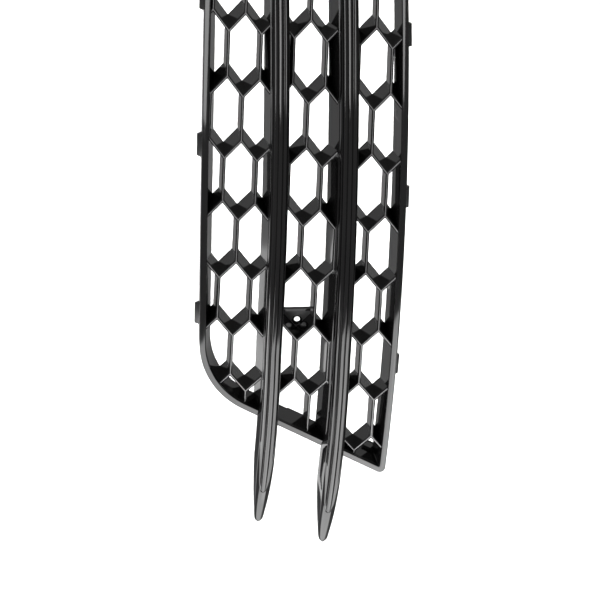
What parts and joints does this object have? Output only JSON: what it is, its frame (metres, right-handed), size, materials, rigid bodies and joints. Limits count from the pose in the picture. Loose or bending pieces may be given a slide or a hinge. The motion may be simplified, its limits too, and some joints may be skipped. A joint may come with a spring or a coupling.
{
  "type": "bumper side intake grille",
  "caption": "Upright side intake grille for a car bumper: deep curved frame, honeycomb insert, two long bladed fins running past its lower edge, and snap tongues in its flanks.",
  "frame": {"origin": "centre of the bumper screw's hole, on the front face of the screw plate", "axes": "+X across the grille, +Z along the blades towards the upper end, -Y out of the front"},
  "size_m": [0.1532, 0.1238, 0.4537],
  "materials": {
    "gloss_black": "high-gloss black moulding",
    "satin_black": "satin black moulding",
    "black_zinc": "black zinc-plated steel"
  },
  "bodies": {
    "grille": {"surround_frame": "gloss_black", "honeycomb_insert": "gloss_black", "blade_left": "gloss_black", "blade_right": "gloss_black", "crown_left": "gloss_black", "crown_right": "gloss_black", "blade_screw_left_1": "black_zinc", "blade_screw_left_2": "black_zinc", "blade_screw_left_3": "black_zinc", "blade_screw_left_4": "black_zinc", "blade_screw_right_1": "black_zinc", "blade_screw_right_2": "black_zinc", "blade_screw_right_3": "black_zinc", "blade_screw_right_4": "black_zinc", "insert_screw_1": "black_zinc", "insert_screw_2": "black_zinc", "insert_screw_3": "black_zinc", "insert_screw_4": "black_zinc", "insert_screw_5": "black_zinc", "insert_screw_6": "black_zinc"},
    "tongue_left_1": {"tongue_left_1": "satin_black"},
    "tongue_left_2": {"tongue_left_2": "satin_black"},
    "tongue_left_3": {"tongue_left_3": "satin_black"},
    "tongue_right_1": {"tongue_right_1": "satin_black"},
    "tongue_right_2": {"tongue_right_2": "satin_black"},
    "tongue_right_3": {"tongue_right_3": "satin_black"}
  },
  "joints": [
    {"name": "flex_left_upper", "type": "hinge", "parent": "grille", "child": "tongue_left_1", "pos_m": [-0.06078, 0.05297, 0.22195], "axis": [-0.0404, -0.3899, -0.92], "range_deg": [0, 12], "stiffness_Nm_per_rad": 0.15},
    {"name": "flex_left_middle", "type": "hinge", "parent": "grille", "child": "tongue_left_2", "pos_m": [-0.06452, 0.01927, 0.12496], "axis": [-0.032, -0.2614, -0.9647], "range_deg": [0, 12], "stiffness_Nm_per_rad": 0.15},
    {"name": "flex_left_lower", "type": "hinge", "parent": "grille", "child": "tongue_left_3", "pos_m": [-0.0677, -0.00182, 0.00498], "axis": [-0.0198, -0.0801, -0.9966], "range_deg": [0, 12], "stiffness_Nm_per_rad": 0.15},
    {"name": "flex_right_upper", "type": "hinge", "parent": "grille", "child": "tongue_right_1", "pos_m": [0.07709, 0.02099, 0.20502], "axis": [0.0137, 0.3369, 0.9414], "range_deg": [0, 12], "stiffness_Nm_per_rad": 0.15},
    {"name": "flex_right_middle", "type": "hinge", "parent": "grille", "child": "tongue_right_2", "pos_m": [0.07398, -0.0084, 0.09505], "axis": [0.0413, 0.1743, 0.9838], "range_deg": [0, 12], "stiffness_Nm_per_rad": 0.15},
    {"name": "flex_right_lower", "type": "hinge", "parent": "grille", "child": "tongue_right_3", "pos_m": [0.06678, -0.0179, -0.02992], "axis": [0.073, -0.0245, 0.997], "range_deg": [0, 12], "stiffness_Nm_per_rad": 0.15}
  ]
}
